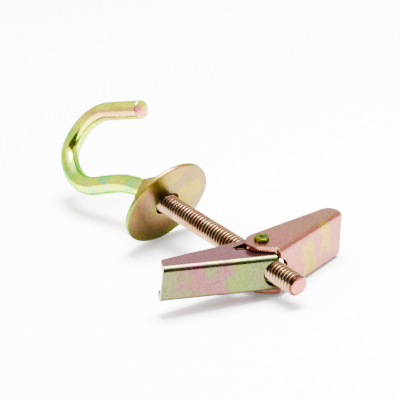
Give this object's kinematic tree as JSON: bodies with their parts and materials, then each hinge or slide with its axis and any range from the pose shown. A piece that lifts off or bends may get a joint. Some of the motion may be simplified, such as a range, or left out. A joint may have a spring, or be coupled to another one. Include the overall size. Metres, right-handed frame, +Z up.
{
  "type": "swag hook",
  "caption": "Bent wire screw hook with lock nut, round washer and a sprung two-wing toggle, for hanging from a hollow ceiling.",
  "frame": {"origin": "on the floor, under the middle of the whole hook as it lies", "axes": "+Z up from the floor; +X along the bolt as seen from above, from the hook to the threaded tip; +Y towards the outer wing"},
  "size_m": [0.1204, 0.0594, 0.0344],
  "materials": {
    "hook_bolt": "bright yellow chromate over zinc on drawn wire, with a rolled thread",
    "lock_nut": "bright yellow chromate over zinc",
    "washer": "yellow chromate over zinc with pink and green bands",
    "toggle_nut": "yellow chromate over zinc, riveted ends",
    "wing_outer": "yellow chromate over zinc with pink and olive patches",
    "wing_inner": "yellow chromate over zinc with green and pink patches",
    "torsion_spring": "bright drawn spring wire"
  },
  "bodies": {
    "toggle": {"toggle_nut": "toggle_nut", "torsion_spring": "torsion_spring"},
    "outer_wing": {"wing_outer": "wing_outer"},
    "inner_wing": {"wing_inner": "wing_inner"},
    "washer": {"washer": "washer"},
    "hook": {"hook_bolt": "hook_bolt", "lock_nut": "lock_nut"}
  },
  "joints": [
    {"name": "outer_wing_fold", "type": "hinge", "parent": "toggle", "child": "outer_wing", "pos_m": [0.04301, 0.00045, 0.00824], "axis": [0.0945, 0.0571, 0.9939], "range_deg": [0, 76], "stiffness_Nm_per_rad": 0.005, "springref_deg": -34.38, "deforming": ["torsion_spring"]},
    {"name": "inner_wing_fold", "type": "hinge", "parent": "toggle", "child": "inner_wing", "pos_m": [0.04301, 0.00045, 0.00824], "axis": [-0.0945, -0.0571, -0.9939], "range_deg": [0, 71], "stiffness_Nm_per_rad": 0.005, "springref_deg": -34.38},
    {"name": "washer_travel", "type": "slide", "parent": "toggle", "child": "washer", "axis": [0.9955, 0, -0.0947], "range_m": [-0.01143, 0.01397]},
    {"name": "hook_turn", "type": "hinge", "parent": "washer", "child": "hook", "pos_m": [-0.00337, 0.00045, 0.01266], "axis": [0.9955, 0, -0.0947], "range_deg": [-3241, 3961]}
  ],
  "couplings": [
    {"joint": "hook_turn", "follows": "washer_travel", "rad_per_m": 4947.4}
  ]
}
